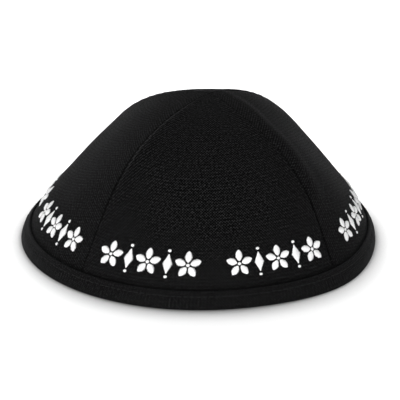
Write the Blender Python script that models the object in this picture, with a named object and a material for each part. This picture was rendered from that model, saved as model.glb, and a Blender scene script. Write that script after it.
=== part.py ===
"""Black cloth kippah: four crown panels whose lower edges sit in a folded rim band.

Metres, +Z up. The origin is the middle of the rim on the surface that the cap rests on.
The front panel faces -Y, and the seams run up the four corners between the panels.
"""
from collections import namedtuple
from math import asin, cos, exp, hypot, pi, radians, sin, sqrt

import bmesh
import bpy

# Driving dimensions, in metres
RIM_RADIUS = 0.0950       # middle of the front to the middle of the rim, outside the band
CROWN_HEIGHT = 0.0783     # top of the crown above the surface
CROWN_LEAN = 0.0060       # how far the top lies towards +X from the middle of the rim
CORNER_BULGE = 0.0044     # how far the rim swells outwards at its right front corner
PANEL_WALL = 0.0013       # thickness of a panel with its facing
SEAM_GAP = 0.0003         # gap between two neighbouring panels
TIP_RADIUS = 0.0008       # the four tips stop this far from the crown's top point
BAND_WALL = 0.0010        # thickness of the folded band's cloth
BAND_CLEARANCE = 0.0003   # gap between the band and the panels
BAND_HEIGHT = 0.0080      # top of the band's outer leg above the surface
TURN_IN_HEIGHT = 0.0090   # top of the band's inner leg above the surface
FOOT_ROUND = 0.0007       # radius of the fold's two lower edges

# Where the corner bulge lies and how it fades
BULGE_ANGLE = 45.0        # degrees from the front, towards +X
BULGE_SPREAD = 22.0       # degrees
BULGE_TOP = 0.45          # share of the crown's height at which it has faded out

# A row for each level cross-section of the panels' outer surface. The height is a share of
# CROWN_HEIGHT, and the radius, at the middle of a panel, a share of the panels' rim radius.
# Squareness is a superellipse's exponent: 2 is round, and more pushes the corners out.
Section = namedtuple("Section", "height radius squareness")
SECTIONS = (
    Section(0.00, 1.000, 2.00),
    Section(0.05, 0.984, 2.00),
    Section(0.105, 0.956, 2.00),
    Section(0.16, 0.929, 2.00),
    Section(0.24, 0.887, 2.02),
    Section(0.40, 0.773, 2.35),
    Section(0.60, 0.619, 3.10),
    Section(0.78, 0.460, 4.00),
    Section(0.90, 0.303, 4.20),
    Section(0.97, 0.150, 4.20),
    Section(1.00, 0.000, 4.20),
)

# A row for each seam. Angles are degrees from the front towards +X. The drift turns the seam
# away from its corner at the rim, at half height and at the top. Crease runs from 0, where the
# cloth rolls softly over the corner, to 1, where it is folded sharply along the seam.
Seam = namedtuple("Seam", "corner rim_drift middle_drift top_drift crease")
SEAMS = (
    Seam(-45.0, 2.4, 1.0, -1.9, 0.80),
    Seam(45.0, -1.3, 1.1, -7.6, 0.20),
    Seam(135.0, 0.0, 0.0, 0.0, 0.80),
    Seam(225.0, 0.0, 0.0, 0.0, 0.60),
)

# A panel lies between its own seam in the table above and the next one.
PANEL_NAMES = ("panel_front", "panel_right", "panel_back", "panel_left")

# Mesh density
PANEL_COLUMNS = 16
PANEL_ROWS = 20
BAND_COLUMNS = 64
LEG_STEPS = 3
LIP_STEPS = 3
FOOT_STEPS = 2

# Derived sizes
PANEL_RIM_RADIUS = RIM_RADIUS - BAND_WALL - BAND_CLEARANCE
PANEL_FOOT = BAND_WALL + BAND_CLEARANCE + PANEL_WALL
BAND_THICKNESS = 2 * BAND_WALL + 2 * BAND_CLEARANCE + PANEL_WALL
SLOPE_STEP = 1e-4 * CROWN_HEIGHT
TURN_STEP = radians(0.05)


def interpolate(places, values, place):
    """Read a smooth curve through a table's points (cubic, with the table's own slopes)."""
    last = len(places) - 2
    slopes = [(values[i + 1] - values[i]) / (places[i + 1] - places[i]) for i in range(last + 1)]

    def tangent(i):
        if i == 0 or i == last + 1:
            return slopes[max(0, i - 1)]
        before = places[i] - places[i - 1]
        after = places[i + 1] - places[i]
        return (slopes[i - 1] * after + slopes[i] * before) / (before + after)

    i = 0
    while i < last and place > places[i + 1]:
        i += 1
    width = places[i + 1] - places[i]
    t = (place - places[i]) / width
    start = values[i] * (1 + 2 * t) * (1 - t) ** 2 + values[i + 1] * t * t * (3 - 2 * t)
    return start + width * (tangent(i) * t * (1 - t) ** 2 - tangent(i + 1) * t * t * (1 - t))


# The table's curves are read over the climb, an angle that is 0 at the rim and 90 degrees at
# the top, so that the crown closes in a round top.
CLIMBS = [asin(section.height) for section in SECTIONS]
RADII = [section.radius for section in SECTIONS]
SQUARENESS = [section.squareness for section in SECTIONS]


def corner_shape(turn, squareness, crease):
    """Radius at a turn from a panel's middle, as a share of the radius at its middle."""
    soft = (abs(cos(turn)) ** squareness + abs(sin(turn)) ** squareness) ** (-1 / squareness)
    corner = 2 ** (-1 / squareness)
    middle = (1 - 2 * corner ** 2) / (2 * (1 - corner))
    arc = middle * cos(turn) + sqrt((1 - middle) ** 2 - (middle * sin(turn)) ** 2)
    return soft + crease * (arc - soft)


def crown_radius(angle, height):
    """Radius of the panels' outer surface at an angle from the front and a height."""
    share = min(1.0, max(0.0, height / CROWN_HEIGHT))
    climb = asin(share)
    squareness = interpolate(CLIMBS, SQUARENESS, climb)
    quarter = int((angle + pi / 4) // (pi / 2))
    turn = angle - quarter * pi / 2
    nearest = SEAMS[(quarter + (1 if turn > 0 else 0)) % len(SEAMS)]
    shape = corner_shape(turn, squareness, nearest.crease)
    away = (angle - radians(BULGE_ANGLE) + pi) % (2 * pi) - pi
    fade = max(0.0, 1 - share / BULGE_TOP) ** 2
    bulge = CORNER_BULGE * fade * exp(-(away / radians(BULGE_SPREAD)) ** 2)
    return PANEL_RIM_RADIUS * interpolate(CLIMBS, RADII, climb) * shape + bulge


def height_slope(angle, height):
    """How fast the crown's radius changes with height."""
    low = max(0.0, height - SLOPE_STEP)
    high = min(CROWN_HEIGHT, height + SLOPE_STEP)
    return (crown_radius(angle, high) - crown_radius(angle, low)) / (high - low)


def turn_slope(angle, height, inward):
    """How fast the crown's radius changes with the angle, looking from the panel's own side."""
    step = inward * TURN_STEP
    return (crown_radius(angle + step, height) - crown_radius(angle, height)) / step


def place(radius, angle, height):
    """A point of the cap, leaning over with its height."""
    lean = CROWN_LEAN * height / CROWN_HEIGHT
    return (radius * sin(angle) + lean, -radius * cos(angle), height)


def height_at_radius(radius):
    """Height at which the middle of a panel comes in to a radius near the top."""
    low = CLIMBS[-2]
    high = pi / 2
    for _ in range(40):
        middle = (low + high) / 2
        if PANEL_RIM_RADIUS * interpolate(CLIMBS, RADII, middle) > radius:
            low = middle
        else:
            high = middle
    return CROWN_HEIGHT * sin(low)


def seam_angle(index, height):
    """Angle of a seam at a height."""
    seam = SEAMS[index % len(SEAMS)]
    share = height / CROWN_HEIGHT
    rim = seam.rim_drift * (1 - share) * (1 - 2 * share)
    middle = seam.middle_drift * 4 * share * (1 - share)
    top = seam.top_drift * share * (2 * share - 1)
    turns = 2 * pi * (index // len(SEAMS))
    return radians(seam.corner + rim + middle + top) + turns


def between(left, right, share, radius):
    """Angle at a share of the way between two seams, keeping half a gap clear of both."""
    trim = asin(0.5 * SEAM_GAP / radius)
    return left + trim + (right - left - 2 * trim) * share


def panel_loop(index, height):
    """A panel's closed cross-section: along the outer surface and back along the inner one."""
    left = seam_angle(index, height)
    right = seam_angle(index + 1, height)
    outer = []
    inner = []
    for column in range(PANEL_COLUMNS + 1):
        share = column / PANEL_COLUMNS
        middle = left + (right - left) * share
        inward = 1 if share < 0.5 else -1
        radius = crown_radius(middle, height)
        rise = height_slope(middle, height)
        swing = turn_slope(middle, height, inward) / radius
        steepness = hypot(1, rise)
        depth = PANEL_WALL * hypot(steepness, swing) / steepness
        inner_radius = radius - depth / steepness
        inner_height = height + depth * rise / steepness

        outer.append(place(radius, between(left, right, share, radius), height))
        inner_angle = between(left, right, share, inner_radius)
        inner.append(place(inner_radius, inner_angle, inner_height))
    return outer + inner[::-1]


def band_profile():
    """The band's cross-section, from the outside of the fold round to its inside.

    Each point is a depth in from the band's outer face and a height above the surface.
    """
    def leg(depth, bottom, top):
        return [(depth, bottom + (top - bottom) * step / LEG_STEPS) for step in range(1, LEG_STEPS)]

    def lip(depth, top):
        half = BAND_WALL / 2
        steps = [pi * step / LIP_STEPS for step in range(LIP_STEPS + 1)]
        return [(depth + half - half * cos(turn), top - half + half * sin(turn)) for turn in steps]

    def foot(depth, side):
        steps = [pi / 2 * step / FOOT_STEPS for step in range(FOOT_STEPS + 1)]
        round_off = [(FOOT_ROUND * (1 - sin(turn)), FOOT_ROUND * (1 - cos(turn))) for turn in steps]
        return [(depth + side * across, up) for across, up in round_off]

    inside = BAND_THICKNESS - BAND_WALL
    points = foot(0, 1)
    points += leg(0, FOOT_ROUND, BAND_HEIGHT - BAND_WALL / 2)
    points += lip(0, BAND_HEIGHT)
    points += leg(BAND_WALL, BAND_HEIGHT - BAND_WALL / 2, BAND_WALL)
    points += [(BAND_WALL, BAND_WALL), (inside, BAND_WALL)]
    points += leg(inside, BAND_WALL, TURN_IN_HEIGHT - BAND_WALL / 2)
    points += lip(inside, TURN_IN_HEIGHT)
    points += leg(BAND_THICKNESS, TURN_IN_HEIGHT - BAND_WALL / 2, FOOT_ROUND)
    points += foot(BAND_THICKNESS, -1)[::-1]
    return points


def band_loop(angle):
    """The band's cross-section where it stands at an angle from the front."""
    loop = []
    for depth, height in band_profile():
        steepness = hypot(1, height_slope(angle, height))
        outside = (BAND_WALL + BAND_CLEARANCE - depth) * steepness
        loop.append(place(crown_radius(angle, height) + outside, angle, height))
    return loop


def loft(name, loops, closed):
    """A solid through a row of closed loops, its first and last loop capped or joined."""
    mesh = bpy.data.meshes.new(name)
    part = bmesh.new()
    rings = [[part.verts.new(point) for point in loop] for loop in loops]
    size = len(loops[0])
    pairs = list(zip(rings, rings[1:]))
    if closed:
        pairs.append((rings[-1], rings[0]))
    for lower, upper in pairs:
        for i in range(size):
            j = (i + 1) % size
            part.faces.new((lower[i], lower[j], upper[j], upper[i]))
    if not closed:
        for ring in (rings[0], rings[-1]):
            for i in range(size // 2 - 1):
                part.faces.new((ring[i], ring[i + 1], ring[-2 - i], ring[-1 - i]))
    bmesh.ops.recalc_face_normals(part, faces=part.faces)
    part.to_mesh(mesh)
    part.free()
    mesh.shade_smooth()
    mesh.set_sharp_from_angle(angle=radians(40))
    return bpy.data.objects.new(name, mesh)


def cloth(name, colour, roughness):
    """Matt woven cloth."""
    material = bpy.data.materials.new(name)
    material.use_nodes = True
    shader = material.node_tree.nodes["Principled BSDF"]
    shader.inputs["Base Color"].default_value = (*colour, 1.0)
    shader.inputs["Roughness"].default_value = roughness
    shader.inputs["Metallic"].default_value = 0.0
    return material


def make_panel(index):
    """One crown panel, from inside the band up to its tip."""
    name = PANEL_NAMES[index]
    top = height_at_radius(TIP_RADIUS)
    low = asin(PANEL_FOOT / CROWN_HEIGHT)
    high = asin(top / CROWN_HEIGHT)
    climbs = [low + (high - low) * row / PANEL_ROWS for row in range(PANEL_ROWS + 1)]
    panel = loft(name, [panel_loop(index, CROWN_HEIGHT * sin(climb)) for climb in climbs], False)
    panel.data.materials.append(cloth(name + "_cloth", (0.016, 0.016, 0.018), 0.82))
    return panel


def make_band():
    """The folded band, a channel that the panels' lower edges stand in."""
    angles = [2 * pi * column / BAND_COLUMNS for column in range(BAND_COLUMNS)]
    band = loft("rim_band", [band_loop(angle) for angle in angles], True)
    band.data.materials.append(cloth("rim_band_cloth", (0.013, 0.013, 0.015), 0.78))
    return band


def main():
    for item in list(bpy.data.objects):
        bpy.data.objects.remove(item, do_unlink=True)
    kippah = bpy.data.collections.new("kippah")
    bpy.context.scene.collection.children.link(kippah)
    for index in range(len(PANEL_NAMES)):
        kippah.objects.link(make_panel(index))
    kippah.objects.link(make_band())


main()
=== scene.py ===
from collections import namedtuple
from math import atan2, cos, pi, radians, sin

import bpy
import numpy as np
from mathutils import Matrix, Vector, noise


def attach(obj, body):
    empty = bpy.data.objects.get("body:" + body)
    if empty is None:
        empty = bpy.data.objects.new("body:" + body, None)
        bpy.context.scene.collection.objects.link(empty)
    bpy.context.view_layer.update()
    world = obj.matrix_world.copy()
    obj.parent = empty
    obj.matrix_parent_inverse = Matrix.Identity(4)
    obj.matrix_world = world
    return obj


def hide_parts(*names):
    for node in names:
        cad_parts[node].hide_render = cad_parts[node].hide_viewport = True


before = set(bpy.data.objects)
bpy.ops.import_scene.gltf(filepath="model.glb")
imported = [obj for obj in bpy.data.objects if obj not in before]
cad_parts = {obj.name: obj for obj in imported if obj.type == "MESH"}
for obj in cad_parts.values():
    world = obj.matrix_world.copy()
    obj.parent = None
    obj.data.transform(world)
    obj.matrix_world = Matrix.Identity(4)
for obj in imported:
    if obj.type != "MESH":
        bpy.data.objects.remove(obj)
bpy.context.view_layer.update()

MM = 0.001

# The part's own sizes, in metres, but for the bulge's angles in degrees and its top as a share
RIM_RADIUS = 0.0950
CROWN_HEIGHT = 0.0783
CROWN_LEAN = 0.0060
CORNER_BULGE = 0.0044
PANEL_WALL = 0.0013
SEAM_GAP = 0.0003
BAND_WALL = 0.0010
BAND_CLEARANCE = 0.0003
BAND_HEIGHT = 0.0080
TURN_IN_HEIGHT = 0.0090
FOOT_ROUND = 0.0007
BULGE_ANGLE = 45.0
BULGE_SPREAD = 22.0
BULGE_TOP = 0.45

# The part's level cross-sections: height and radius as shares, and squareness
Section = namedtuple("Section", "height radius squareness")
SECTIONS = (
    Section(0.00, 1.000, 2.00),
    Section(0.05, 0.984, 2.00),
    Section(0.105, 0.956, 2.00),
    Section(0.16, 0.929, 2.00),
    Section(0.24, 0.887, 2.02),
    Section(0.40, 0.773, 2.35),
    Section(0.60, 0.619, 3.10),
    Section(0.78, 0.460, 4.00),
    Section(0.90, 0.303, 4.20),
    Section(0.97, 0.150, 4.20),
    Section(1.00, 0.000, 4.20),
)

# The part's seams, with what the needle and the iron left beside each, and the light painted there.
# Angles and drifts are in degrees. The seam allowance is pressed towards larger angles: there the
# cloth stands out by the lift, at the seam, and by the ridge, at the allowance's far edge, both in
# metres. The lip highlight tells how strongly a highlight is painted along the fold beside the seam,
# and the top groove how deep the seam and its painted shade stay near the top.
Seam = namedtuple("Seam", "corner rim_drift middle_drift top_drift crease lift ridge lip top_groove")
SEAMS = (
    Seam(-45.0, 2.4, 1.0, -1.9, 0.80, 0.00035, 0.00000, 2.2, 1.00),
    Seam(45.0, -1.3, 1.1, -7.6, 0.20, 0.00005, 0.00095, 0.2, 0.12),
    Seam(135.0, 0.0, 0.0, 0.0, 0.80, 0.00035, 0.00000, 1.0, 1.00),
    Seam(225.0, 0.0, 0.0, 0.0, 0.60, 0.00030, 0.00020, 0.6, 1.00),
)
PANEL_NAMES = ("panel_front", "panel_right", "panel_back", "panel_left")

PANEL_RIM_RADIUS = RIM_RADIUS - BAND_WALL - BAND_CLEARANCE
PANEL_FOOT = BAND_WALL + BAND_CLEARANCE + PANEL_WALL
BAND_THICKNESS = 2 * BAND_WALL + 2 * BAND_CLEARANCE + PANEL_WALL

# The cloth beside a seam, in metres
ROLL_WIDTH = 0.00085      # how far from the seam the cloth starts to turn down into it
ROLL_DEPTH = 0.00060
LIP_PLACE = 0.00110       # the painted highlight along the fold beside a seam
LIP_WIDTH = 0.00045
SHADE_WIDTH = 0.00060     # painted shade: the dark line deep in a seam
SEAM_LAP = 0.00015        # how far a panel's inner edge reaches past a seam, so no light shows
TIP_RADIUS = 0.0004       # how near the panels' tips come to the point where they meet
ALLOWANCE = 0.0058        # width of the seam allowance pressed flat underneath
TOP_ALLOWANCE = 0.0100    # its width near the top, where four allowances meet
ALLOWANCE_SOFTNESS = 0.0022
RIDGE_FALL = 0.0110       # how far beyond the allowance its ridge fades out
RIDGE_SHARPNESS = 9.0
PUCKER_PITCH = 0.0062     # the seam's small gathers
PUCKER_LIFT = 0.00010
PUCKER_REACH = 0.0060
PUCKER_SHIFT = 1.7        # from seam to seam, in radians
PUCKER_WANDER = 2.2       # how unevenly they follow each other, in radians
PUCKER_DRIFT = 3.1 * PUCKER_PITCH
SWELL_LIFT = 0.00040      # the broad unevenness of soft cloth
SWELL_SIZE = 0.030
CLEAR_OF_BAND = 0.0050    # how far above the band all this reaches its full height
BAND_SHADE_START = 0.0002
BAND_SHADE_WIDTH = 0.0008 # painted shade: the dark line just above the band

# Between which shares of the crown's height these set in or, for the groove, fade out
LIP_RISE = (0.50, 0.80)
LIP_LEAST = 0.15          # what there is of the painted lip highlight lower down
RIDGE_RISE = (0.35, 0.60)
TOP_ALLOWANCE_RISE = (0.86, 0.96)
GROOVE_FADE = (0.62, 0.80)

# Columns near a seam, at these distances from it, and evenly spaced ones between
SEAM_COLUMNS = np.array([0, 0.10, 0.24, 0.40, 0.60, 0.85, 1.2, 1.8, 2.6, 3.6, 4.8, 6.2, 8.0]) * MM
MIDDLE_COLUMNS = 56
PANEL_ROWS = 120
ROW_SAMPLES = 33          # points that a row is measured with
ASIDE_STEP = radians(0.05)
SEAM_HAIR = 1e-6          # keeps a panel's edge on its own side of the seam, in radians

# The rim band's fine form, in metres
BAND_COLUMNS = 520
BAND_PUFF = 0.00030       # how far the folded strip stands out between its edges
RIPPLE_FINE = 0.000030    # what the topstitching draws up, from stitch to stitch
RIPPLE_BROAD = 0.000075
RIPPLE_PITCH = 0.0170
STITCH_INSET = 0.0020     # topstitching, below the band's top edge
STITCH_DIMPLE = 0.00022
DIMPLE_WIDTH = 0.00065
STITCH_LENGTH = 0.0024
STITCH_PITCH = 0.0032
STITCH_THICKNESS = 0.00038
STITCH_POINTS = 9
STITCH_WAVER = 0.00006
STITCH_SHARE = 0.72       # where on the band's height the outer stitches lie

# The cloth's pattern, in metres
WEAVE_PITCH = 0.00140
WEAVE_WANDER = 0.00045
RIB_PITCH = 0.00175
GRAIN_TURNS = (0.0, -20.0, 0.0, 20.0)   # degrees that each panel's weave is turned by
PLY_PITCH = 0.00042       # the twist of a thread

# The grain's sizes, in turns for each metre
WANDER_SCALE = 160.0
FUZZ_SCALE = 900.0
PATCH_SCALE = 60.0
THREAD_FUZZ_SCALE = 1500.0
FLOOR_SCALE = 6.0

# How strongly each pattern changes the cloth's tone
RIB_TONE = 1.3
FUZZ_TONE = 1.7           # times the weave's contrast
PATCH_TONE = 0.6
# the painted highlights and painted shade that the mesh carries
PAINTED_SHADING_TONE = 1.5

# The soft painted shadow where the cap meets the floor, darkening the floor's colour
CONTACT_REACH = 0.014
CONTACT_DEPTH = 1.8

# The white surroundings: how strongly they light the cap, and how bright the camera sees them.
# Far from the cap the floor glows too, like a lit backdrop, fully so from the glow's end on.
SURROUND_LIGHT = 0.30
SURROUND_WHITE = 1.10
GLOW_START = 0.30
GLOW_END = 0.75
GLOW_STRENGTH = 0.90

# The soft boxes, in metres and watts: some light only the cap, and the others only the floor
Lamp = namedtuple("Lamp", "name spot aim width height power")
CAP_LAMPS = (
    Lamp("light_front", (-0.34, -1.48, 0.42), (0, 0, 0.03), 1.6, 1.0, 31.5),
    Lamp("light_behind", (0.00, 1.15, 1.15), (0, 0, 0.03), 1.6, 0.5, 6.0),
)
FLOOR_LAMPS = (
    Lamp("floor_behind", (0.00, 1.15, 1.15), (0, 0, 0.00), 1.6, 0.6, 30.0),
    Lamp("floor_left", (-0.91, 0.64, 1.15), (0, 0, 0.00), 1.0, 0.8, 9.0),
    Lamp("floor_right", (0.91, 0.64, 1.15), (0, 0, 0.00), 1.0, 0.8, 9.0),
)

# The needlework border, in metres and degrees
BORDER_RISE = 0.0127      # middle of the ornaments, above the band's top edge
MOTIF_ANGLES = (-14.0, -7.0, 0.0, 7.0, 14.0)
GROUP_ANGLES = ((-20.2, 25.3), (-16.0, 22.0), (-22.0, 22.0), (-19.0, 23.5))
PETALS = 5
PETAL_START = 0.00135
PETAL_END = 0.0066
PETAL_HALF_WIDTH = 0.0018
KNOT_REACH = 0.00085
LOZENGE_REACH = 0.0048
LOZENGE_HALF_WIDTH = 0.0025
DOT_RISE = 0.0064
DOT_REACH = 0.0008
DOT_HALF_WIDTH = 0.00075
THREAD_PITCH = 0.00030
THREAD_WIDTH = 0.00038
THREAD_THICKNESS = 0.00026
THREAD_MARGIN = 0.00006   # how far a thread reaches past the drawn form
THREAD_SINK = 0.00010     # how deep its ends go into the cloth
STRAND_TAPER = 0.45       # how thin a strand is at its ends
PAD_LIFT = 0.00022        # how high the padding lifts a thread, and more by this share of its reach
PAD_SHARE = 0.30
REACH_WAVER = 0.06        # the hand's unevenness
LIFT_WAVER = 0.05

CLIMBS = np.arcsin([section.height for section in SECTIONS])
RADII = np.array([section.radius for section in SECTIONS])
SQUARENESS = np.array([section.squareness for section in SECTIONS])


def read_curve(values, place):
    """A smooth curve through a column of the section table, read at climb angles."""
    widths = np.diff(CLIMBS)
    slopes = np.diff(values) / widths
    tangents = np.empty(len(values))
    tangents[0] = slopes[0]
    tangents[-1] = slopes[-1]
    joined = slopes[:-1] * widths[1:] + slopes[1:] * widths[:-1]
    tangents[1:-1] = joined / (widths[:-1] + widths[1:])
    i = np.clip(np.searchsorted(CLIMBS, place) - 1, 0, len(widths) - 1)
    t = (place - CLIMBS[i]) / widths[i]
    ends = values[i] * (1 + 2 * t) * (1 - t) ** 2 + values[i + 1] * t * t * (3 - 2 * t)
    bends = tangents[i] * t * (1 - t) ** 2 - tangents[i + 1] * t * t * (1 - t)
    return ends + widths[i] * bends


def crown_radius(angle, height):
    """Radius of the panels' outer surface at angles from the front and at heights."""
    angle, height = np.broadcast_arrays(np.asarray(angle, float), np.asarray(height, float))
    share = np.clip(height / CROWN_HEIGHT, 0.0, 1.0)
    climb = np.arcsin(share)
    squareness = read_curve(SQUARENESS, climb)
    quarter = np.floor((angle + pi / 4) / (pi / 2)).astype(int)
    turn = angle - quarter * pi / 2
    creases = np.array([seam.crease for seam in SEAMS])
    crease = creases[(quarter + (turn > 0)) % len(SEAMS)]
    lobes = np.abs(np.cos(turn)) ** squareness + np.abs(np.sin(turn)) ** squareness
    soft = lobes ** (-1 / squareness)
    corner = 2 ** (-1 / squareness)
    middle = (1 - 2 * corner ** 2) / (2 * (1 - corner))
    arc = middle * np.cos(turn) + np.sqrt((1 - middle) ** 2 - (middle * np.sin(turn)) ** 2)
    shape = soft + crease * (arc - soft)
    away = (angle - radians(BULGE_ANGLE) + pi) % (2 * pi) - pi
    fade = np.maximum(0.0, 1 - share / BULGE_TOP) ** 2
    bulge = CORNER_BULGE * fade * np.exp(-(away / radians(BULGE_SPREAD)) ** 2)
    return PANEL_RIM_RADIUS * read_curve(RADII, climb) * shape + bulge


def place(radius, angle, height):
    """Points of the cap, leaning over with their height."""
    lean = CROWN_LEAN * height / CROWN_HEIGHT
    return np.stack([radius * np.sin(angle) + lean, -radius * np.cos(angle), height], axis=-1)


def height_slope(angle, height):
    """How fast the crown's radius changes with height."""
    step = 1e-4 * CROWN_HEIGHT
    low = np.maximum(0.0, height - step)
    high = np.minimum(CROWN_HEIGHT, height + step)
    return (crown_radius(angle, high) - crown_radius(angle, low)) / (high - low)


def seam_angle(index, height):
    """Angle of a seam at heights."""
    seam = SEAMS[index % len(SEAMS)]
    share = height / CROWN_HEIGHT
    rim = seam.rim_drift * (1 - share) * (1 - 2 * share)
    middle = seam.middle_drift * 4 * share * (1 - share)
    top = seam.top_drift * share * (2 * share - 1)
    return np.radians(seam.corner + rim + middle + top) + 2 * pi * (index // len(SEAMS))


def smooth_step(value):
    """0 below 0, 1 above 1, and a smooth rise between."""
    t = np.clip(value, 0.0, 1.0)
    return t * t * (3 - 2 * t)


def fade_in(value, start, end):
    """0 below a start, 1 above an end, and a smooth rise between."""
    return smooth_step((value - start) / (end - start))


def unit(vectors):
    """Vectors at length 1."""
    return vectors / np.linalg.norm(vectors, axis=-1, keepdims=True)


def surface_normals(grid):
    """Outward normals of a grid of points, rows upwards and columns towards larger angles."""
    across = np.gradient(grid, axis=1)
    up = np.gradient(grid, axis=0)
    return unit(np.cross(across, up))


def swell(points):
    """The broad unevenness of the cloth, the same on both sides of a seam."""
    flat = points.reshape(-1, 3) / SWELL_SIZE
    values = [noise.noise(Vector(point)) for point in flat]
    return np.array(values).reshape(points.shape[:-1])


def column_shares(width):
    """Places of a row's columns as shares of its width, crowded towards both seams."""
    reach = SEAM_COLUMNS[-1]
    zone = min(reach, width / 4)
    left = SEAM_COLUMNS * zone / reach
    middle = np.linspace(zone, width - zone, MIDDLE_COLUMNS + 1)[1:-1]
    return np.concatenate([left, middle, width - left[::-1]]) / width, zone / reach


def mesh_object(name, points, faces, material, uvs=None, painted_shadings=None):
    """An object from points and faces, with its cloth coordinates and its painted light and shade."""
    mesh = bpy.data.meshes.new(name)
    mesh.from_pydata([tuple(point) for point in points], [], faces)
    if uvs is not None:
        layer = mesh.uv_layers.new(name="cloth")
        corners = np.empty(len(mesh.loops), dtype=np.int32)
        mesh.loops.foreach_get("vertex_index", corners)
        layer.data.foreach_set("uv", np.asarray(uvs, dtype=np.float32)[corners].ravel())
    if painted_shadings is not None:
        layer = mesh.attributes.new("wear", "FLOAT", "POINT")
        layer.data.foreach_set("value", np.asarray(painted_shadings, dtype=np.float32))
    mesh.shade_smooth()
    mesh.materials.append(material)
    piece = bpy.data.objects.new(name, mesh)
    bpy.context.scene.collection.objects.link(piece)
    return piece


def loop_faces(rows, size, closed):
    """Quads between rows of closed loops, with the first and last loop capped or joined."""
    faces = []
    for row in range(rows if closed else rows - 1):
        start = row * size
        above = (row + 1) % rows * size
        for i in range(size):
            j = (i + 1) % size
            faces.append((start + i, start + j, above + j, above + i))
    if not closed:
        last = (rows - 1) * size
        for i in range(size // 2 - 1):
            faces.append((size - 1 - i, size - 2 - i, i + 1, i))
            faces.append((last + i, last + i + 1, last + size - 2 - i, last + size - 1 - i))
    return faces


# Materials

Kit = namedtuple("Kit", "material tree shader math grain blend bump")


def shader_kit(name):
    """A new material with its Principled shader and short ways to add nodes."""
    material = bpy.data.materials.new(name)
    material.use_nodes = True
    tree = material.node_tree
    shader = tree.nodes["Principled BSDF"]

    def connect(value, socket):
        if isinstance(value, bpy.types.NodeSocket):
            tree.links.new(value, socket)
        else:
            socket.default_value = value

    # A multiply-add given one value halves it and adds a half, which turns -1..1 into 0..1
    def math(operation, first, second=0.5):
        node = tree.nodes.new("ShaderNodeMath")
        node.operation = operation
        connect(first, node.inputs[0])
        connect(second, node.inputs[1])
        node.inputs[2].default_value = 0.5
        return node.outputs[0]

    def grain(scale, detail, vector):
        node = tree.nodes.new("ShaderNodeTexNoise")
        node.inputs["Scale"].default_value = scale
        node.inputs["Detail"].default_value = detail
        tree.links.new(vector, node.inputs["Vector"])
        return node.outputs["Fac"]

    def blend(factor, low, high):
        node = tree.nodes.new("ShaderNodeMix")
        node.data_type = "RGBA"
        connect(factor, node.inputs["Factor"])
        connect(low, node.inputs["A"])
        connect(high, node.inputs["B"])
        return node.outputs["Result"]

    def bump(height, strength, distance):
        node = tree.nodes.new("ShaderNodeBump")
        node.inputs["Strength"].default_value = strength
        node.inputs["Distance"].default_value = distance
        tree.links.new(height, node.inputs["Height"])
        tree.links.new(node.outputs["Normal"], shader.inputs["Normal"])

    return Kit(material, tree, shader, math, grain, blend, bump)


def cloth_spot(kit):
    """The cloth coordinates, whole and as the two lengths that they hold."""
    uv = kit.tree.nodes.new("ShaderNodeUVMap")
    uv.uv_map = "cloth"
    split = kit.tree.nodes.new("ShaderNodeSeparateXYZ")
    kit.tree.links.new(uv.outputs["UV"], split.inputs["Vector"])
    return uv.outputs["UV"], split.outputs["X"], split.outputs["Y"]


def wave(kit, length, period):
    """A ridge pattern along a length, from 0 to 1."""
    turns = kit.math("MULTIPLY", length, 2 * pi / period)
    return kit.math("MULTIPLY_ADD", kit.math("SINE", turns))


def black_cloth(name, dark, light, contrast, sheen):
    """Fine black plain weave with faint ribs and a little nap, with painted highlights and painted
    shade read from the mesh.
    """
    kit = shader_kit(name)
    math = kit.math
    shader = kit.shader
    spot, across, along = cloth_spot(kit)
    drift = math("SUBTRACT", kit.grain(WANDER_SCALE, 2.0, spot), 0.5)
    wander = math("MULTIPLY", drift, WEAVE_WANDER)
    across = math("ADD", across, wander)
    along = math("ADD", along, wander)
    warp = math("SINE", math("MULTIPLY", across, 2 * pi / WEAVE_PITCH))
    weft = math("SINE", math("MULTIPLY", along, 2 * pi / WEAVE_PITCH))
    weave = math("MULTIPLY_ADD", math("MULTIPLY", warp, weft))
    ribs = wave(kit, along, RIB_PITCH)
    fuzz = kit.grain(FUZZ_SCALE, 2.0, spot)
    patches = kit.grain(PATCH_SCALE, 3.0, spot)
    # Painted light and shade from the mesh: lighter for painted highlights, darker for painted shade
    painted_shading_amount = kit.tree.nodes.new("ShaderNodeAttribute")
    painted_shading_amount.attribute_name = "wear"
    patterns = (
        (weave, contrast),
        (ribs, RIB_TONE),
        (fuzz, FUZZ_TONE * contrast),
        (patches, PATCH_TONE),
    )
    tone = math("MULTIPLY", painted_shading_amount.outputs["Fac"], PAINTED_SHADING_TONE)
    for pattern, strength in patterns:
        tone = math("ADD", tone, math("MULTIPLY", math("SUBTRACT", pattern, 0.5), strength))
    tone = math("MAXIMUM", math("ADD", tone, 0.5), 0.0)
    scale = math("ADD", math("MULTIPLY", tone, light - dark), dark)
    combine = kit.tree.nodes.new("ShaderNodeCombineColor")
    for channel, share in (("Red", 1.0), ("Green", 1.0), ("Blue", 1.02)):
        kit.tree.links.new(math("MULTIPLY", scale, share), combine.inputs[channel])
    kit.tree.links.new(combine.outputs["Color"], shader.inputs["Base Color"])
    shader.inputs["Roughness"].default_value = 0.75
    shader.inputs["Specular IOR Level"].default_value = 0.025
    shader.inputs["Sheen Weight"].default_value = sheen
    shader.inputs["Sheen Roughness"].default_value = 0.5
    shader.inputs["Sheen Tint"].default_value = (0.90, 0.91, 0.95, 1.0)
    relief = math("ADD", weave, math("MULTIPLY", fuzz, 0.5))
    relief = math("ADD", relief, math("MULTIPLY", ribs, 0.3))
    kit.bump(relief, strength=0.8, distance=0.00020)
    return kit.material


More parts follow.
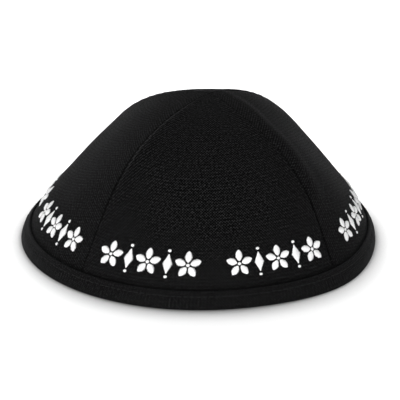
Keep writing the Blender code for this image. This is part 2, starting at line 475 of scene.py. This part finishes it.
def satin_thread(name, dark, light, roughness, gloss):
    """Glossy embroidery thread with twisted plies."""
    kit = shader_kit(name)
    math = kit.math
    spot, along, around = cloth_spot(kit)
    slant = math("ADD", along, math("MULTIPLY", around, 0.8))
    plies = wave(kit, slant, PLY_PITCH)
    fuzz = kit.grain(THREAD_FUZZ_SCALE, 2.0, spot)
    tone = math("ADD", math("MULTIPLY", plies, 0.45), math("MULTIPLY", fuzz, 0.75))
    colours = kit.blend(tone, (dark, dark, dark, 1.0), (light, light, light, 1.0))
    kit.tree.links.new(colours, kit.shader.inputs["Base Color"])
    kit.shader.inputs["Roughness"].default_value = roughness
    kit.shader.inputs["Specular IOR Level"].default_value = gloss
    kit.bump(plies, strength=0.35, distance=0.00005)
    return kit.material


def plain_floor():
    """A matt near-white card with a painted contact shadow where the cap touches it, that turns into
    a lit backdrop.
    """
    kit = shader_kit("floor_card")
    tree = kit.tree
    shader = kit.shader
    spot = tree.nodes.new("ShaderNodeTexCoord").outputs["Object"]
    tone = kit.grain(FLOOR_SCALE, 2.0, spot)
    colours = kit.blend(tone, (0.90, 0.90, 0.90, 1.0), (0.93, 0.93, 0.93, 1.0))
    # Painted shadow: the floor's colour darkens where the cap is close
    shade = tree.nodes.new("ShaderNodeAmbientOcclusion")
    shade.samples = 16
    shade.inputs["Distance"].default_value = CONTACT_REACH
    openness = kit.math("POWER", shade.outputs["AO"], CONTACT_DEPTH)
    shaded = kit.blend(openness, (0.0, 0.0, 0.0, 1.0), colours)
    tree.links.new(shaded, shader.inputs["Base Color"])
    away = tree.nodes.new("ShaderNodeVectorMath")
    away.operation = "LENGTH"
    tree.links.new(spot, away.inputs[0])
    glow = tree.nodes.new("ShaderNodeMapRange")
    glow.interpolation_type = "SMOOTHSTEP"
    tree.links.new(away.outputs["Value"], glow.inputs["Value"])
    glow.inputs["From Min"].default_value = GLOW_START
    glow.inputs["From Max"].default_value = GLOW_END
    glow.inputs["To Max"].default_value = GLOW_STRENGTH
    shader.inputs["Emission Color"].default_value = (1.0, 1.0, 1.0, 1.0)
    tree.links.new(glow.outputs["Result"], shader.inputs["Emission Strength"])
    shader.inputs["Roughness"].default_value = 0.9
    shader.inputs["Specular IOR Level"].default_value = 0.1
    return kit.material


# Crown panels

def ridge_profile(distance, width):
    """Rises evenly from a seam to its allowance's edge and sinks softly beyond it."""
    rise = distance / width
    sink = 1 - smooth_step((distance - width) / RIDGE_FALL)
    return -np.logaddexp(-RIDGE_SHARPNESS * rise, -RIDGE_SHARPNESS * sink) / RIDGE_SHARPNESS


def panel_relief(index, grid, scale):
    """How far a panel's cloth stands out from the plain crown, its painted light and shade, and its
    lengths.

    The painted light and shade is over 0 for a painted highlight along a seam's fold, and under 0 for
    painted shade deep in a seam and just above the band.
    """
    steps = np.linalg.norm(np.diff(grid, axis=1), axis=-1)
    from_left = np.concatenate([np.zeros((len(grid), 1)), np.cumsum(steps, axis=1)], axis=1)
    from_right = from_left[:, -1:] - from_left
    climb_steps = np.linalg.norm(np.diff(grid, axis=0), axis=-1)
    climbed = np.concatenate([np.zeros((1, grid.shape[1])), np.cumsum(climb_steps, axis=0)])
    share = grid[..., 2] / CROWN_HEIGHT
    scale = scale[:, None]
    relief = SWELL_LIFT * swell(grid)
    wear = np.zeros(grid.shape[:2])
    for side, distance in ((0, from_left), (1, from_right)):
        seam = SEAMS[(index + side) % len(SEAMS)]
        if side == 0:
            edge = (distance - ALLOWANCE * scale) / (ALLOWANCE_SOFTNESS * scale)
            relief += seam.lift * scale * smooth_step(0.5 - edge / 2)
            width = ALLOWANCE + (TOP_ALLOWANCE - ALLOWANCE) * fade_in(share, *TOP_ALLOWANCE_RISE)
            ridge = seam.ridge * scale * fade_in(share, *RIDGE_RISE)
            relief += ridge * ridge_profile(distance, width)
            # A painted highlight along the fold beside the seam, stronger towards the top
            fold = np.exp(-((distance / scale - LIP_PLACE) / LIP_WIDTH) ** 2)
            painted_shading_amount = LIP_LEAST + (1 - LIP_LEAST) * fade_in(share, *LIP_RISE)
            wear += seam.lip * painted_shading_amount * fold
        phase = PUCKER_SHIFT * (index + side) + PUCKER_WANDER * np.sin(climbed / PUCKER_DRIFT)
        gather = np.sin(2 * pi * climbed / PUCKER_PITCH + phase)
        relief += PUCKER_LIFT * scale * gather * np.exp(-distance / (PUCKER_REACH * scale))
        inside = np.clip(1 - distance / (ROLL_WIDTH * scale), 0.0, 1.0)
        groove = 1 - (1 - seam.top_groove) * fade_in(share, *GROOVE_FADE)
        relief -= ROLL_DEPTH * scale * groove * (1 - np.sqrt(1 - inside ** 2))
        # Painted shade: the cloth is painted dark deep in the seam
        wear -= groove * np.exp(-(distance / scale / SHADE_WIDTH) ** 2)
    above_band = grid[..., 2] - BAND_HEIGHT
    clear_of_band = smooth_step(above_band / CLEAR_OF_BAND)
    # Painted shade: a dark line painted on the cloth just above the band
    wear -= np.exp(-(np.maximum(0.0, above_band - BAND_SHADE_START) / BAND_SHADE_WIDTH) ** 2)
    return relief * clear_of_band, wear, from_left, climbed


def tip_climb():
    """Climb angle at which the panels' tips stop, close to the top."""
    last = (RADII[-2] - RADII[-1]) / (CLIMBS[-1] - CLIMBS[-2])
    return CLIMBS[-1] - TIP_RADIUS / (PANEL_RIM_RADIUS * last)


def panel_rows(index):
    """A panel's outer and inner points in rows, and how tight each row's seam columns are."""
    lowest = np.arcsin(PANEL_FOOT / CROWN_HEIGHT)
    climbs = np.linspace(lowest, tip_climb(), PANEL_ROWS)
    outer_rows = []
    inner_rows = []
    scales = []
    for height in CROWN_HEIGHT * np.sin(climbs):
        left = seam_angle(index, height)
        right = seam_angle(index + 1, height)
        even = np.linspace(left, right, ROW_SAMPLES)
        row = place(crown_radius(even, height), even, np.full(ROW_SAMPLES, height))
        steps = np.linalg.norm(np.diff(row, axis=0), axis=1)
        width = steps.sum()
        shares, scale = column_shares(width)
        scales.append(scale)
        along = np.concatenate([[0], np.cumsum(steps)]) / width
        middle = np.interp(shares, along, even)
        middle = np.clip(middle, left + SEAM_HAIR, right - SEAM_HAIR)
        radius = crown_radius(middle, height)
        rise = height_slope(middle, np.full(middle.shape, height))
        # The inner face lies a wall away, square to the cloth
        inward = np.where(shares < 0.5, 1, -1) * ASIDE_STEP
        swing = (crown_radius(middle + inward, height) - radius) / inward / radius
        steepness = np.hypot(1, rise)
        depth = PANEL_WALL * np.hypot(steepness, swing) / steepness
        inner_radius = radius - depth / steepness
        inner_height = height + depth * rise / steepness
        # Half the seam's gap is cut off outside, and inside the panel reaches past the seam
        spread = (middle - left) / (right - left)
        outer_trim = np.arcsin(0.5 * SEAM_GAP / radius) * (1 - 2 * spread)
        inner_trim = -np.arcsin(SEAM_LAP / inner_radius) * (1 - 2 * spread)
        outer_rows.append(place(radius, middle + outer_trim, np.full(middle.shape, height)))
        inner_rows.append(place(inner_radius, middle + inner_trim, inner_height))
    return np.array(outer_rows), np.array(inner_rows), np.array(scales)


def make_panel(index, material):
    """One crown panel as a fine shell of cloth."""
    grid, inner, scales = panel_rows(index)
    relief, wear, from_left, climbed = panel_relief(index, grid, scales)
    outer = grid + surface_normals(grid) * relief[..., None]
    size = grid.shape[1]
    points = np.concatenate([outer, inner[:, ::-1]], axis=1).reshape(-1, 3)
    middle_line = from_left[:, size // 2][:, None]
    turn = radians(GRAIN_TURNS[index])
    across = from_left - middle_line
    up = climbed + 0.0 * from_left
    uv = np.stack([across * cos(turn) + up * sin(turn), up * cos(turn) - across * sin(turn)], axis=-1)
    uvs = np.concatenate([uv, uv[:, ::-1]], axis=1).reshape(-1, 2)
    painted_shadings = np.concatenate([wear, 0.0 * wear], axis=1).ravel()
    faces = loop_faces(PANEL_ROWS, 2 * size, False)
    return mesh_object("cloth_" + PANEL_NAMES[index], points, faces, material, uvs, painted_shadings)


# Rim band

def outer_puff(share):
    """How far the band's outer face stands out at a share of its height."""
    return BAND_PUFF * sin(pi * share) ** 0.8


def band_profile():
    """The band's cross-section as depth in from its outer face, height and painted light: a painted
    highlight along the top edges, and a little lighter at the foot.
    """
    points = []

    def turn(depth, height, radius, start, end, steps, wear):
        for angle in np.linspace(radians(start), radians(end), steps):
            points.append((depth - radius * cos(angle), height + radius * sin(angle), wear))

    half = BAND_WALL / 2
    turn(FOOT_ROUND, FOOT_ROUND, FOOT_ROUND, -90, 0, 6, 0.1)
    for share in np.linspace(0, 1, 19)[1:-1]:
        height = FOOT_ROUND + (BAND_HEIGHT - half - FOOT_ROUND) * share
        below_edge = BAND_HEIGHT - height
        dimple = STITCH_DIMPLE * np.exp(-((below_edge - STITCH_INSET) / DIMPLE_WIDTH) ** 2)
        points.append((dimple - outer_puff(share), height, 0.0))
    # The top edge, painted lighter as a highlight
    turn(half, BAND_HEIGHT - half, half, 0, 180, 9, 0.2)
    inside = BAND_THICKNESS - BAND_WALL
    for share in (0.33, 0.66):
        points.append((BAND_WALL, BAND_HEIGHT - half - share * (BAND_HEIGHT - half - BAND_WALL), 0.0))
    points.append((BAND_WALL, BAND_WALL, 0.0))
    points.append((inside, BAND_WALL, 0.0))
    for share in (0.33, 0.66):
        points.append((inside, BAND_WALL + share * (TURN_IN_HEIGHT - half - BAND_WALL), 0.0))
    turn(inside + half, TURN_IN_HEIGHT - half, half, 0, 180, 9, 0.2)
    for share in np.linspace(1, 0, 15)[1:-1]:
        height = FOOT_ROUND + (TURN_IN_HEIGHT - half - FOOT_ROUND) * share
        puff = 0.6 * BAND_PUFF * sin(pi * share)
        points.append((BAND_THICKNESS + puff, height, 0.0))
    turn(BAND_THICKNESS - FOOT_ROUND, FOOT_ROUND, FOOT_ROUND, 180, 270, 6, 0.1)
    return points


def band_place(angle, depth, height):
    """Points of the band at a depth in from its outer face."""
    steepness = np.hypot(1, height_slope(angle, height))
    outside = (BAND_WALL + BAND_CLEARANCE - depth) * steepness
    return place(crown_radius(angle, height) + outside, angle, height)


def band_ripple(angle, share):
    """Small puckers that the topstitching draws into the folded strip, not quite regular."""
    around = angle * RIM_RADIUS
    wander = 1.9 * np.sin(around / (9.7 * MM)) + 1.3 * np.sin(around / (23.0 * MM) + 1.0)
    fine = np.sin(2 * pi * around / (2 * STITCH_PITCH) + wander)
    broad = np.sin(2 * pi * around / RIPPLE_PITCH + 2.0 * wander)
    return (RIPPLE_FINE * fine + RIPPLE_BROAD * broad) * np.sin(pi * share) ** 2


def make_band(material):
    """The folded band as a fine mesh."""
    profile = np.array(band_profile())
    angles = np.linspace(0, 2 * pi, BAND_COLUMNS, endpoint=False)
    depth = profile[:, 0][None, :] + 0 * angles[:, None]
    height = profile[:, 1][None, :] + 0 * angles[:, None]
    angle = angles[:, None] + 0 * depth
    share = np.clip(height / BAND_HEIGHT, 0, 1)
    outer_face = depth < 0.5 * BAND_WALL
    depth = depth - np.where(outer_face, band_ripple(angle, share), 0.0)
    points = band_place(angle, depth, height)
    steps = np.linalg.norm(np.diff(points[0], axis=0), axis=1)
    across = np.concatenate([[0], np.cumsum(steps)])
    uv = np.stack([across[None, :] + 0 * angle, angle * RIM_RADIUS], axis=-1)
    painted_shadings = profile[:, 2][None, :] + 0 * angle
    faces = loop_faces(BAND_COLUMNS, len(profile), True)
    points = points.reshape(-1, 3)
    uv = uv.reshape(-1, 2)
    return mesh_object("cloth_rim_band", points, faces, material, uv, painted_shadings.ravel())


# Threads

def strand(points, ups, width, thickness, sides):
    """A closed strand of thread along points, wider than it is thick."""
    points = np.asarray(points)
    ahead = unit(np.gradient(points, axis=0))
    aside = unit(np.cross(ahead, ups))
    outside = unit(np.cross(aside, ahead))
    count = len(points)
    taper = np.ones(count)
    taper[0] = STRAND_TAPER
    taper[-1] = STRAND_TAPER
    turns = np.linspace(0, 2 * pi, sides, endpoint=False)
    rings = points[:, None] + taper[:, None, None] * (
        aside[:, None] * (width / 2 * np.cos(turns))[None, :, None]
        + outside[:, None] * (thickness / 2 * np.sin(turns))[None, :, None]
    )
    run = np.concatenate([[0], np.cumsum(np.linalg.norm(np.diff(points, axis=0), axis=1))])
    around = turns[None, :] * width / pi + 0 * run[:, None]
    uv = np.stack([run[:, None] + 0 * turns, around], axis=-1)
    faces = []
    for row in range(count - 1):
        for i in range(sides):
            j = (i + 1) % sides
            start = row * sides
            above = start + sides
            faces.append((start + i, start + j, above + j, above + i))
    faces.append(tuple(range(sides))[::-1])
    faces.append(tuple((count - 1) * sides + i for i in range(sides)))
    return rings.reshape(-1, 3), faces, uv.reshape(-1, 2)


def thread_object(name, strands, material):
    """Many strands joined in one mesh."""
    points = []
    faces = []
    uvs = []
    count = 0
    for number, (ring_points, ring_faces, ring_uv) in enumerate(strands):
        points.append(ring_points)
        uvs.append(ring_uv + np.array([number * 0.00137, number * 0.00291]))
        faces += [tuple(i + count for i in face) for face in ring_faces]
        count += len(ring_points)
    return mesh_object(name, np.concatenate(points), faces, material, np.concatenate(uvs))


def outward(angle, height):
    """Outward normals of the crown's surface."""
    step = radians(0.2)
    rise = 0.2 * MM
    across = place(crown_radius(angle + step, height), angle + step, height)
    across = across - place(crown_radius(angle - step, height), angle - step, height)
    up = place(crown_radius(angle, height + rise), angle, height + rise)
    up = up - place(crown_radius(angle, height - rise), angle, height - rise)
    return unit(np.cross(across, up))


def make_topstitch(name, depth, below_edge, edge_height, outside, material):
    """A row of stitches round one leg of the band."""
    around = 2 * pi * RIM_RADIUS
    count = int(around / STITCH_PITCH)
    reach = STITCH_LENGTH / 2 / RIM_RADIUS
    shares = np.linspace(-1, 1, STITCH_POINTS)
    strands = []
    for number in range(count):
        middle = 2 * pi * number / count
        angle = middle + reach * shares
        height = np.full(STITCH_POINTS, edge_height - below_edge) + STITCH_WAVER * sin(number * 2.4)
        bury = 0.45 * STITCH_THICKNESS * (shares ** 4) * 2
        level = depth + outside * (bury - 0.30 * STITCH_THICKNESS)
        points = band_place(angle, level, height)
        ups = outward(angle, height) * outside
        strands.append(strand(points, ups, STITCH_THICKNESS, STITCH_THICKNESS * 0.8, 8))
    return thread_object(name, strands, material)


# Needlework border

def border_point(angle, across, up):
    """Angle and height of a point given in metres beside and above a motif's middle."""
    start = BAND_HEIGHT
    slope = height_slope(angle, start + 0.010)
    height = start + (BORDER_RISE + up) / np.hypot(1, slope)
    radius = crown_radius(angle, height)
    return angle + across / radius, height


def satin_strands(angle, spine, half_widths, random):
    """Threads laid side by side across a spine, each arched over the padding below."""
    ahead = unit(np.gradient(spine, axis=0))
    aside = np.stack([-ahead[:, 1], ahead[:, 0]], axis=-1)
    shares = np.linspace(-1, 1, 7)
    strands = []
    for point, side, half in zip(spine, aside, half_widths):
        reach = half * (1 + REACH_WAVER * random.standard_normal()) + THREAD_MARGIN
        flat = point[None, :] + side[None, :] * (reach * shares)[:, None]
        turn, height = border_point(angle, flat[:, 0], flat[:, 1])
        ups = outward(turn, height)
        lift = (PAD_LIFT + PAD_SHARE * half) * (1 + LIFT_WAVER * random.standard_normal())
        arch = lift * np.sqrt(np.maximum(0.0, 1 - shares ** 2 * 0.98)) - THREAD_SINK
        base = place(crown_radius(turn, height), turn, height)
        line = base + ups * arch[:, None]
        strands.append(strand(line, ups, THREAD_WIDTH, THREAD_THICKNESS, 6))
    return strands


def lay(start, end, half_width, power):
    """A leaf-shaped stretch of satin stitch: its spine and its half widths."""
    start = np.array(start)
    end = np.array(end)
    length = np.linalg.norm(end - start)
    count = max(4, int(length / THREAD_PITCH))
    t = (np.arange(count) + 0.5) / count
    spine = start + (end - start) * t[:, None]
    return spine, half_width * np.sin(pi * t) ** power


def flower(angle, random):
    """Five petals round a small knot."""
    strands = []
    for petal in range(PETALS):
        turn = pi / 2 + 2 * pi * petal / PETALS
        way = np.array([cos(turn), sin(turn)])
        spine, halves = lay(way * PETAL_START, way * PETAL_END, PETAL_HALF_WIDTH, 0.60)
        strands += satin_strands(angle, spine, halves, random)
    spine, halves = lay((-KNOT_REACH, 0.0), (KNOT_REACH, 0.0), KNOT_REACH, 0.5)
    return strands + satin_strands(angle, spine, halves, random)


def lozenge(angle, random):
    """A tall diamond between two dots."""
    count = round(2 * LOZENGE_REACH / THREAD_PITCH)
    t = (np.arange(count) + 0.5) / count * 2 - 1
    spine = np.stack([0 * t, LOZENGE_REACH * t], axis=-1)
    halves = LOZENGE_HALF_WIDTH * (1 - np.abs(t)) + THREAD_SINK
    strands = satin_strands(angle, spine, halves, random)
    for side in (-1, 1):
        level = side * DOT_RISE
        spine, halves = lay((-DOT_REACH, level), (DOT_REACH, level), DOT_HALF_WIDTH, 0.5)
        strands += satin_strands(angle, spine, halves, random)
    return strands


def make_border(index, material):
    """The white ornaments of one panel, in two groups."""
    random = np.random.default_rng(20 + index)
    strands = []
    for group in GROUP_ANGLES[index]:
        for number, offset in enumerate(MOTIF_ANGLES):
            motif = lozenge if number % 2 else flower
            strands += motif(radians(90.0 * index + group + offset), random)
    return thread_object("needlework_" + PANEL_NAMES[index], strands, material)


# Room, light and camera

def make_floor():
    """A wide plain sheet under the cap."""
    reach = 6.0
    corners = [(-reach, -reach, 0), (reach, -reach, 0), (reach, reach, 0), (-reach, reach, 0)]
    floor = mesh_object("floor", corners, [(0, 1, 2, 3)], plain_floor())
    return floor


def softbox(lamp, lit):
    """A soft rectangular light that lights only some pieces."""
    data = bpy.data.lights.new(lamp.name, "AREA")
    data.shape = "RECTANGLE"
    data.size = lamp.width
    data.size_y = lamp.height
    data.energy = lamp.power
    light = bpy.data.objects.new(lamp.name, data)
    light.location = lamp.spot
    way = Vector(lamp.aim) - Vector(lamp.spot)
    light.rotation_euler = way.to_track_quat("-Z", "Y").to_euler()
    bpy.context.scene.collection.objects.link(light)
    group = bpy.data.collections.new(lamp.name + "_pieces")
    for piece in lit:
        group.objects.link(piece)
    light.light_linking.receiver_collection = group


def light_room(cap, floor):
    """Dim white surroundings, one set of soft boxes for the cap and one for the floor."""
    world = bpy.data.worlds.new("studio")
    world.use_nodes = True
    tree = world.node_tree
    tree.nodes["Background"].inputs["Color"].default_value = (1.0, 1.0, 1.0, 1.0)
    seen = tree.nodes.new("ShaderNodeLightPath").outputs["Is Camera Ray"]
    strength = tree.nodes.new("ShaderNodeMapRange")
    tree.links.new(seen, strength.inputs["Value"])
    strength.inputs["To Min"].default_value = SURROUND_LIGHT
    strength.inputs["To Max"].default_value = SURROUND_WHITE
    tree.links.new(strength.outputs["Result"], tree.nodes["Background"].inputs["Strength"])
    bpy.context.scene.world = world
    bpy.context.scene.view_settings.view_transform = "Standard"
    for lamp in CAP_LAMPS:
        softbox(lamp, cap)
    for lamp in FLOOR_LAMPS:
        softbox(lamp, [floor])


# The camera as the photograph shows it: it looks at the rim's middle from this far away and
# this high, and the middle of the rim lies at this pixel of the 400 pixel frame.
CAMERA_TURN = -1.8        # degrees from straight in front, towards +X
CAMERA_RISE = 24.0        # degrees above the surface
CAMERA_DISTANCE = 9.5 * RIM_RADIUS
FOCAL_PIXELS = 1673.0
FRAME_PIXELS = 400
RIM_MIDDLE_PIXEL = (198.05, 231.0)
SENSOR_WIDTH = 36.0


def aim_camera():
    """The photograph's view."""
    turn = radians(CAMERA_TURN)
    rise = radians(CAMERA_RISE)
    spot = CAMERA_DISTANCE * Vector((sin(turn) * cos(rise), -cos(turn) * cos(rise), sin(rise)))
    half = FRAME_PIXELS / 2
    sideways = atan2(RIM_MIDDLE_PIXEL[0] - half, FOCAL_PIXELS)
    downwards = atan2(RIM_MIDDLE_PIXEL[1] - half, FOCAL_PIXELS)
    straight = (-spot).to_track_quat("-Z", "Y").to_matrix()
    tilt = Matrix.Rotation(downwards, 3, "X") @ Matrix.Rotation(sideways, 3, "Y")
    data = bpy.data.cameras.new("camera")
    data.sensor_width = SENSOR_WIDTH
    data.lens = FOCAL_PIXELS / FRAME_PIXELS * SENSOR_WIDTH
    camera = bpy.data.objects.new("camera", data)
    camera.matrix_world = Matrix.Translation(spot) @ (straight @ tilt).to_4x4()
    bpy.context.scene.collection.objects.link(camera)
    bpy.context.scene.camera = camera


def main():
    """The finished cap on its floor, lit and seen as in the photograph."""
    aim_camera()
    panel_cloth = black_cloth("panel_weave", dark=0.0002, light=0.0050, contrast=6.5, sheen=0.012)
    band_cloth = black_cloth("band_weave", dark=0.0003, light=0.0053, contrast=5.0, sheen=0.032)
    white_thread = satin_thread("white_thread", dark=0.72, light=0.87, roughness=0.42, gloss=0.45)
    black_thread = satin_thread("black_thread", dark=0.004, light=0.019, roughness=0.60, gloss=0.06)
    cap = []
    for index, node in enumerate(PANEL_NAMES):
        panel = make_panel(index, panel_cloth)
        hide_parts(node)
        border = make_border(index, white_thread)
        cap += [panel, border]
    band = make_band(band_cloth)
    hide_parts("rim_band")
    cap.append(band)
    outer_depth = STITCH_DIMPLE - outer_puff(STITCH_SHARE)
    inner_depth = BAND_THICKNESS + 0.5 * BAND_PUFF
    inner_inset = STITCH_INSET + TURN_IN_HEIGHT - BAND_HEIGHT
    rows = (
        ("topstitch_outside", outer_depth, STITCH_INSET, BAND_HEIGHT, 1),
        ("topstitch_inside", inner_depth, inner_inset, TURN_IN_HEIGHT, -1),
    )
    for name, depth, below_edge, edge, outside in rows:
        stitches = make_topstitch(name, depth, below_edge, edge, outside, black_thread)
        cap.append(stitches)
    for piece in cap:
        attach(piece, "root")
    floor = make_floor()
    light_room(cap, floor)


main()
